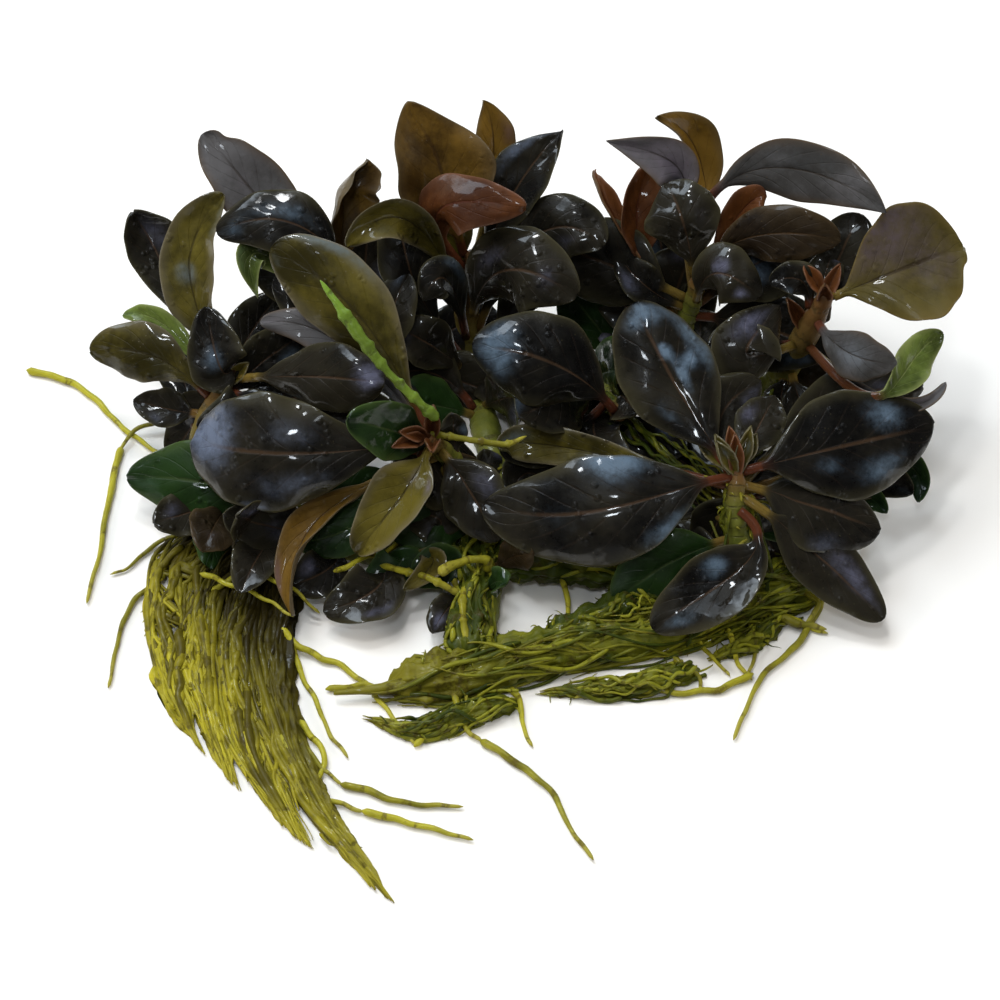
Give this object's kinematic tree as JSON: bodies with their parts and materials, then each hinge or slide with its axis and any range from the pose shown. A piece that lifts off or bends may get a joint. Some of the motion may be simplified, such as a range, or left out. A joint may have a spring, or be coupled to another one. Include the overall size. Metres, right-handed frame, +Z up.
{
  "type": "bucephalandra aquarium plant clump",
  "caption": "Loose clump of a rhizome aquarium plant: dark glossy elliptic leaves on creeping rhizomes, an old flower stalk and trailing yellow-green roots.",
  "frame": {"origin": "on the ground, on the flattened underside of the cross rhizome, under the middle of the clump", "axes": "+X to the right and +Y to the back as seen from the front, where the roots trail; +Z up"},
  "size_m": [0.1429, 0.116, 0.043],
  "materials": {
    "leaf_dark": "near-black olive leaf, wet and glossy, with a blue sheen",
    "leaf_green": "deep green wet leaf",
    "leaf_olive": "olive leaf with a paler rim, wet and glossy",
    "leaf_brown": "brown leaf, satin",
    "leaf_red": "red-brown young leaf, satin",
    "leaf_violet": "grey-violet leaf underside, satin",
    "rhizome": "olive-green fleshy rhizome with leaf scars",
    "stalk": "bright green fleshy flower stalk",
    "root": "yellow-green wet roots with darker tips"
  },
  "bodies": {
    "root": {"front_rhizome": "rhizome", "cross_rhizome": "rhizome", "left_rhizome": "rhizome", "back_rhizome": "rhizome", "back_left_shoot": "rhizome", "front_left_shoot": "rhizome", "middle_shoot": "rhizome", "back_right_shoot": "rhizome", "right_shoot": "rhizome", "left_sickle_leaf": "leaf_olive", "left_upright_leaf": "leaf_dark", "left_blunt_leaf": "leaf_olive", "left_inner_leaf": "leaf_dark", "left_low_leaf": "leaf_green", "front_black_leaf": "leaf_dark", "violet_leaf": "leaf_violet", "arched_blue_leaf": "leaf_dark", "curled_brown_leaf": "leaf_brown", "red_brown_leaf": "leaf_red", "big_left_leaf": "leaf_dark", "long_olive_leaf": "leaf_olive", "hanging_leaf": "leaf_olive", "narrow_curled_leaf": "leaf_brown", "tall_brown_leaf": "leaf_brown", "tall_back_leaf": "leaf_brown", "pointed_back_leaf": "leaf_dark", "grey_middle_leaf": "leaf_dark", "upright_middle_leaf": "leaf_dark", "drop_leaf": "leaf_dark", "big_middle_leaf": "leaf_dark", "long_grey_leaf": "leaf_violet", "pale_turned_leaf": "leaf_violet", "hooked_leaf": "leaf_brown", "young_red_leaf": "leaf_red", "dark_back_leaf": "leaf_dark", "glossy_back_leaf": "leaf_dark", "round_brown_leaf": "leaf_brown", "two_lobed_leaf": "leaf_violet", "grey_right_leaf": "leaf_violet", "pale_green_leaf": "leaf_green", "spotted_leaf": "leaf_dark", "long_left_pointing_leaf": "leaf_dark", "big_right_leaf": "leaf_dark", "right_under_leaf": "leaf_dark", "low_right_leaf": "leaf_dark", "low_front_leaf": "leaf_dark", "flower_stalk": "stalk", "far_left_root": "root", "left_edge_root": "root", "upper_pale_root": "root", "lower_pale_root": "root", "long_front_root": "root", "right_root": "root", "brush_lock_1": "root", "brush_lock_2": "root", "brush_lock_3": "root", "brush_lock_4": "root", "mat_lock_left": "root", "mat_lock_middle": "root", "mat_lock_right": "root"}
  },
  "joints": []
}
